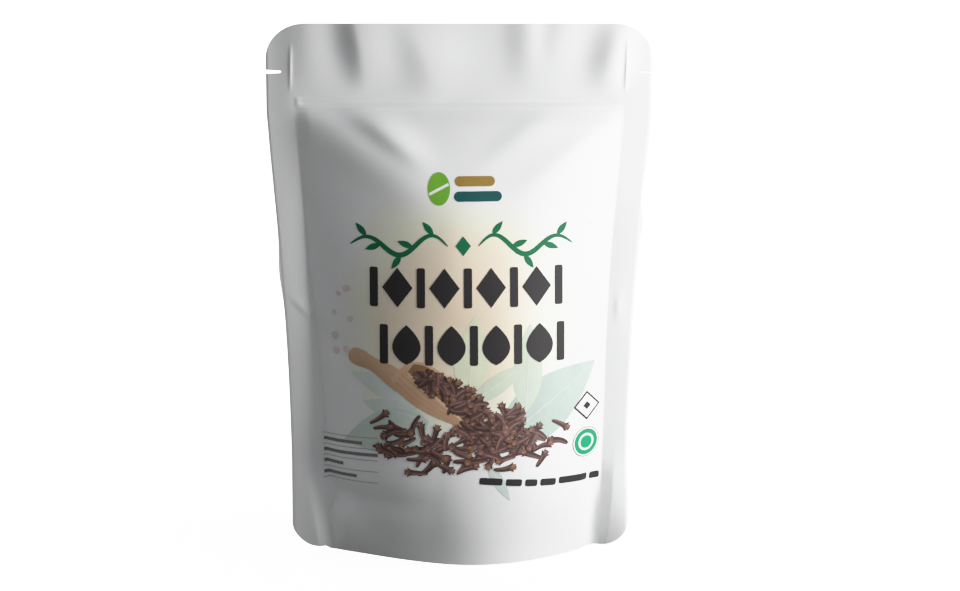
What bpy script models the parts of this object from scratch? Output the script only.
"""Sealed stand-up pouch, filled with whole cloves, standing on its opened bottom gusset.

The pouch is one solid out to its film: two panels sealed at the sides and the top, a press-to-close
track below the header, two tear notches, and a lens-shaped foot whose skirt stands on the table.
X runs along the width, -Y is the printed front, Z is up. The origin is under the middle of the foot.
"""

import math

import bmesh
import bpy

# Driving sizes, in metres
FLAT_WIDTH = 0.203
HEIGHT = 0.280
FILL_DEPTH = 0.084
TRACK_HEIGHT = 0.2385
NOTCH_HEIGHT = 0.2550

# Seals and corners
FILM = 0.0007
SIDE_SEAL_TOP = 0.0145
SIDE_SEAL_LOW = 0.0128
TOP_SEAL = 0.010
TOP_CORNER = 0.018
FOOT_CORNER = 0.0125
FOOT_SEAL_HEIGHT = 0.036
FOOT_SEAL_EXTRA = 0.008
SEAL_FLARE = 0.0025

# Closing track and tear notches
TRACK_HALF = 0.0028
TRACK_RISE = 0.0005
NOTCH_DEPTH = 0.0074
LEFT_NOTCH_GAP = 0.0020
RIGHT_NOTCH_GAP = 0.0010

# How full the panels stand, and how much of it they take from the width
FULLNESS_LOW = 2.3
FULLNESS_TOP = 3.4
PROFILE_BEND = 2.6
PROFILE_DROP = 0.70
DRAW_IN = 0.57
PINCH = 0.3
FOOT_TUCK = 0.075
TUCK_HEIGHT = 0.050
HEADER_GAP = 0.0008

# Foot: a flat skirt, a groove behind it and the pillow of the gusset film, with a crease in the middle.
# The places are shares of the way in from the edge.
SKIRT_WIDTH = 0.0030
SKIRT_PLACE = SKIRT_WIDTH / (FILL_DEPTH / 2.0)
GROOVE_PLACE = 0.22
PILLOW_PLACE = 0.55
GROOVE_HEIGHT = 0.0045
PILLOW_HEIGHT = 0.0014
CREASE_HEIGHT = 0.0026
THIN_FOOT = 0.0035

# Counts of faces
PANEL_COLUMNS = 34
SEAL_COLUMNS = 2
BODY_ROWS = 27
HEADER_ROWS = 4
CORNER_ROWS = 6

COLOURS = {"pouch": (0.86, 0.86, 0.86, 1.0)}


class Ridge:
    """A soft raised fold in the film along a straight line, given by two (x, z) ends."""

    def __init__(self, start, end, width, rise):
        self.start = start
        self.end = end
        self.width = width
        self.rise = rise

    def at(self, x, z):
        run_x = self.end[0] - self.start[0]
        run_z = self.end[1] - self.start[1]
        length = math.hypot(run_x, run_z)
        from_x = x - self.start[0]
        from_z = z - self.start[1]
        along = (from_x * run_x + from_z * run_z) / length**2
        across = (from_x * run_z - from_z * run_x) / length
        if not 0.0 < along < 1.0:
            return 0.0
        return self.rise * math.sin(math.pi * along) ** 1.5 * math.exp(-((across / self.width) ** 2))


# Buckles of the header above the track: both films share them. They run out over the top edge.
HEADER_RIDGES = [
    Ridge((-0.0535, 0.2390), (-0.0530, 0.3150), 0.0075, 0.0026),
    Ridge((-0.0060, 0.2390), (-0.0300, 0.3000), 0.0070, 0.0012),
    Ridge((0.0350, 0.2400), (0.0350, 0.3150), 0.0070, 0.0016),
    Ridge((0.0430, 0.2390), (0.0600, 0.3100), 0.0070, 0.0012),
    Ridge((0.0660, 0.2390), (0.0900, 0.3000), 0.0050, 0.0010),
]

# Folds that run down from the ends of the closing track, where the flat header meets the full body
FRONT_RIDGES = [
    Ridge((-0.1000, 0.2430), (-0.0120, 0.1847), 0.0095, 0.0034),
    Ridge((-0.0620, 0.2400), (-0.0120, 0.2040), 0.0060, 0.0022),
    Ridge((0.1000, 0.2420), (0.0180, 0.1860), 0.0080, 0.0028),
    Ridge((0.0560, 0.2420), (0.0010, 0.2010), 0.0060, 0.0018),
]
BACK_RIDGES = [
    Ridge((-0.1000, 0.2450), (-0.0200, 0.1800), 0.0095, 0.0032),
    Ridge((0.1000, 0.2450), (0.0150, 0.1740), 0.0095, 0.0034),
    Ridge((0.0600, 0.2410), (0.0060, 0.2030), 0.0060, 0.0020),
]


def eased(t):
    """0 below 0, 1 above 1, smooth between."""
    t = min(1.0, max(0.0, t))
    return t * t * (3.0 - 2.0 * t)


def fill_at(z):
    """How far a panel stands off the seal plane in its middle, at height z."""
    half = FILL_DEPTH / 2.0
    if z >= TRACK_HEIGHT:
        t = (z - TRACK_HEIGHT) / (HEIGHT - TOP_SEAL - TRACK_HEIGHT)
        return HEADER_GAP * math.sin(math.pi * t) if 0.0 < t < 1.0 else 0.0
    share = (1.0 - (z / TRACK_HEIGHT) ** PROFILE_BEND) ** PROFILE_DROP
    tuck = 1.0 - FOOT_TUCK * (1.0 - eased(z / TUCK_HEIGHT)) ** 2
    return half * share * tuck


def straight_half_width(z):
    """Half of the width at height z, corners not yet rounded: a panel that bulges draws its edges in."""
    panel = FLAT_WIDTH / 2.0 - SIDE_SEAL_TOP
    depth = fill_at(max(z, TUCK_HEIGHT)) if z < TRACK_HEIGHT else 0.0
    return FLAT_WIDTH / 2.0 - DRAW_IN * depth**2 / panel


def corner_inset(z):
    """How far the rounded corners take the edge in."""
    if z < FOOT_CORNER:
        radius, rise = FOOT_CORNER, FOOT_CORNER - z
    elif z > HEIGHT - TOP_CORNER:
        radius, rise = TOP_CORNER, z - (HEIGHT - TOP_CORNER)
    else:
        return 0.0
    return radius - math.sqrt(max(0.0, radius**2 - rise**2))


def edge_at(z):
    """Half-width out to the film's edge."""
    return straight_half_width(z) - corner_inset(z)


def seal_line_at(z):
    """Half-width of the panel inside the side seals, which widen towards the header and the foot."""
    seal = SIDE_SEAL_LOW + (SIDE_SEAL_TOP - SIDE_SEAL_LOW) * eased((z - 0.050) / 0.130)
    widen = FOOT_SEAL_EXTRA * max(0.0, 1.0 - z / FOOT_SEAL_HEIGHT) ** 2
    return min(straight_half_width(z) - seal - widen, edge_at(z) - 0.0015)


def section_at(u, z):
    """Share of the fill depth at u, from -1 to 1 across the panel. The foot is pinched at its ends."""
    fullness = FULLNESS_LOW + (FULLNESS_TOP - FULLNESS_LOW) * eased((z - 0.150) / 0.080)
    full = 1.0 - abs(u) ** fullness
    pinched = PINCH * math.cos(math.pi * u / 2.0) ** 2 + (1.0 - PINCH) * (1.0 - u * u)
    blend = eased(z / TUCK_HEIGHT)
    return pinched * (1.0 - blend) + full * blend


def middle_at(x, z):
    """The seal plane's own shape: the header's buckles, and side seals that flare to the front."""
    offset = -sum(ridge.at(x, z) for ridge in HEADER_RIDGES)
    seal_line = straight_half_width(z) - SIDE_SEAL_TOP
    beyond = max(0.0, (abs(x) - seal_line) / SIDE_SEAL_TOP)
    below_track = 1.0 - 0.7 * eased((z - 0.150) / 0.080)
    return offset - SEAL_FLARE * below_track * beyond**2


def stand_off(x, z, ridges):
    """Distance of the film's outside from the seal plane."""
    seal_line = seal_line_at(z)
    u = min(1.0, abs(x) / seal_line)
    inside = eased((seal_line - abs(x)) / 0.008)
    track = TRACK_RISE * inside * (1.0 - eased((abs(z - TRACK_HEIGHT) - TRACK_HALF * 0.6) / (TRACK_HALF * 0.4)))
    depth = fill_at(z)
    folds = sum(ridge.at(x, z) for ridge in ridges) * inside if z < TRACK_HEIGHT else 0.0
    folds *= min(1.0, depth / 0.006)
    return FILM / 2.0 + depth * section_at(u, z) + folds + track


def columns_at(z):
    """x of each column at height z, left to right: seal, panel, seal."""
    edge = edge_at(z)
    seal_line = seal_line_at(z)
    panel = []
    for i in range(PANEL_COLUMNS + 1):
        t = 2.0 * i / PANEL_COLUMNS - 1.0
        panel.append(seal_line * (0.65 * t + 0.35 * math.sin(math.pi * t / 2.0)))
    seal = [seal_line + (edge - seal_line) * (i + 1) / SEAL_COLUMNS for i in range(SEAL_COLUMNS)]
    return [-x for x in reversed(seal)] + panel + seal


def row_heights():
    """Heights of the rows, close together round the corners and over the closing track."""
    quarter = [math.pi / 2.0 * i / CORNER_ROWS for i in range(CORNER_ROWS + 1)]
    foot = [FOOT_CORNER * (1.0 - math.cos(a)) for a in quarter]
    top = [HEIGHT - TOP_CORNER + TOP_CORNER * math.sin(a) for a in quarter]
    track_low = TRACK_HEIGHT - TRACK_HALF
    track_high = TRACK_HEIGHT + TRACK_HALF
    body = [FOOT_CORNER + (track_low - FOOT_CORNER) * (i + 1) / BODY_ROWS for i in range(BODY_ROWS)]
    track = [track_low + 2.0 * TRACK_HALF * share for share in (0.25, 0.5, 0.75, 1.0)]
    header = [track_high + (top[0] - track_high) * (i + 1) / HEADER_ROWS for i in range(HEADER_ROWS)]
    return foot + body + track + header + top[1:]


def quads_between(bm, first, second):
    """Faces between two equal rows of vertices, wound so that they face the way the caller lays them."""
    for i in range(len(first) - 1):
        bm.faces.new((first[i], first[i + 1], second[i + 1], second[i]))


def fan_between(bm, previous, line):
    """Triangles between a row of two vertices and a full row, in the winding of quads_between."""
    middle = max(len(previous), len(line)) // 2
    if len(previous) == 2:
        for i in range(len(line) - 1):
            bm.faces.new((previous[0 if i < middle else 1], line[i + 1], line[i]))
        bm.faces.new((previous[0], previous[1], line[middle]))
    else:
        for i in range(len(previous) - 1):
            bm.faces.new((previous[i], previous[i + 1], line[0 if i < middle else 1]))
        bm.faces.new((previous[middle], line[1], line[0]))


def foot_height(inward, half):
    """Height of the underside at a distance inward from the skirt's edge, in a foot `half` deep there."""
    reach = inward / half
    deep = eased(half / (FILL_DEPTH / 4.0))
    if reach <= SKIRT_PLACE + 1e-6:
        return 0.0
    if reach <= GROOVE_PLACE:
        return deep * GROOVE_HEIGHT * (reach - SKIRT_PLACE) / (GROOVE_PLACE - SKIRT_PLACE)
    if reach <= PILLOW_PLACE:
        t = eased((reach - GROOVE_PLACE) / (PILLOW_PLACE - GROOVE_PLACE))
        return deep * (GROOVE_HEIGHT + (PILLOW_HEIGHT - GROOVE_HEIGHT) * t)
    t = eased((reach - PILLOW_PLACE) / (1.0 - PILLOW_PLACE)) ** 4
    return deep * (PILLOW_HEIGHT + (CREASE_HEIGHT - PILLOW_HEIGHT) * t)


def close_foot(bm, front_row, back_row):
    """The underside: a flat skirt all round, a groove, and the gusset film with a crease along X."""
    stations = [SKIRT_PLACE, GROOVE_PLACE, 0.36, PILLOW_PLACE, 0.80]
    shares = stations + [1.0] + [2.0 - s for s in reversed(stations)]
    previous = None
    for front, back in zip(front_row, back_row):
        half = (back.co.y - front.co.y) / 2.0
        if half < THIN_FOOT:
            line = [front, back]
        else:
            inner = []
            for share in shares:
                inward = half * min(share, 2.0 - share)
                inner.append(bm.verts.new((front.co.x, front.co.y + half * share, foot_height(inward, half))))
            line = [front, *inner, back]
        if previous is not None:
            if len(line) == len(previous):
                quads_between(bm, previous, line)
            else:
                fan_between(bm, previous, line)
        previous = line


def pouch_mesh():
    """The whole pack as one closed mesh: front and back films row by row, then foot and top."""
    bm = bmesh.new()
    fronts = []
    backs = []
    for z in row_heights():
        front = []
        back = []
        for x in columns_at(z):
            middle = middle_at(x, z)
            front.append(bm.verts.new((x, middle - stand_off(x, z, FRONT_RIDGES), z)))
            back.append(bm.verts.new((x, middle + stand_off(x, z, BACK_RIDGES), z)))
        fronts.append(front)
        backs.append(back)
    for low, high in zip(range(len(fronts) - 1), range(1, len(fronts))):
        quads_between(bm, fronts[low], fronts[high])
        quads_between(bm, backs[high], backs[low])
        bm.faces.new((backs[low][0], fronts[low][0], fronts[high][0], backs[high][0]))
        bm.faces.new((fronts[low][-1], backs[low][-1], backs[high][-1], fronts[high][-1]))
    quads_between(bm, fronts[-1], backs[-1])
    close_foot(bm, fronts[0], backs[0])
    mesh = bpy.data.meshes.new("pouch")
    bm.to_mesh(mesh)
    bm.free()
    return mesh


def notch_cutter(name, side, gap):
    """A slot with a round end that opens at the side edge. side is -1 at the left and 1 at the right."""
    edge = edge_at(NOTCH_HEIGHT)
    tip_radius = gap * 0.3
    centre = edge - NOTCH_DEPTH + tip_radius
    outline = [(edge + 0.004, gap * 0.62), (edge + 0.004, -gap * 0.62)]
    for i in range(7):
        angle = -math.pi / 2.0 - math.pi * i / 6
        outline.append((centre + tip_radius * math.cos(angle), tip_radius * math.sin(angle)))
    bm = bmesh.new()
    verts = [bm.verts.new((side * x, -0.012, NOTCH_HEIGHT + z)) for x, z in outline]
    face = bm.faces.new(verts)
    grown = bmesh.ops.extrude_face_region(bm, geom=[face])
    moved = [v for v in grown["geom"] if isinstance(v, bmesh.types.BMVert)]
    bmesh.ops.translate(bm, verts=moved, vec=(0.0, 0.024, 0.0))
    bmesh.ops.recalc_face_normals(bm, faces=bm.faces)
    mesh = bpy.data.meshes.new(name)
    bm.to_mesh(mesh)
    bm.free()
    cutter = bpy.data.objects.new(name, mesh)
    bpy.context.scene.collection.objects.link(cutter)
    cutter.hide_render = True
    cutter.display_type = "WIRE"
    return cutter


def film_material():
    """White satin laminate."""
    material = bpy.data.materials.new("white_film")
    material.use_nodes = True
    shader = material.node_tree.nodes["Principled BSDF"]
    shader.inputs["Base Color"].default_value = COLOURS["pouch"]
    shader.inputs["Roughness"].default_value = 0.42
    shader.inputs["Metallic"].default_value = 0.0
    return material


def build():
    for old in list(bpy.data.objects):
        bpy.data.objects.remove(old)
    mesh = pouch_mesh()
    mesh.shade_smooth()
    mesh.set_sharp_from_angle(angle=math.radians(50))
    mesh.materials.append(film_material())
    pouch = bpy.data.objects.new("pouch", mesh)
    bpy.context.scene.collection.objects.link(pouch)
    for name, side, gap in (("left_notch", -1, LEFT_NOTCH_GAP), ("right_notch", 1, RIGHT_NOTCH_GAP)):
        cut = pouch.modifiers.new(name, "BOOLEAN")
        cut.operation = "DIFFERENCE"
        cut.solver = "EXACT"
        cut.object = notch_cutter(name, side, gap)


build()
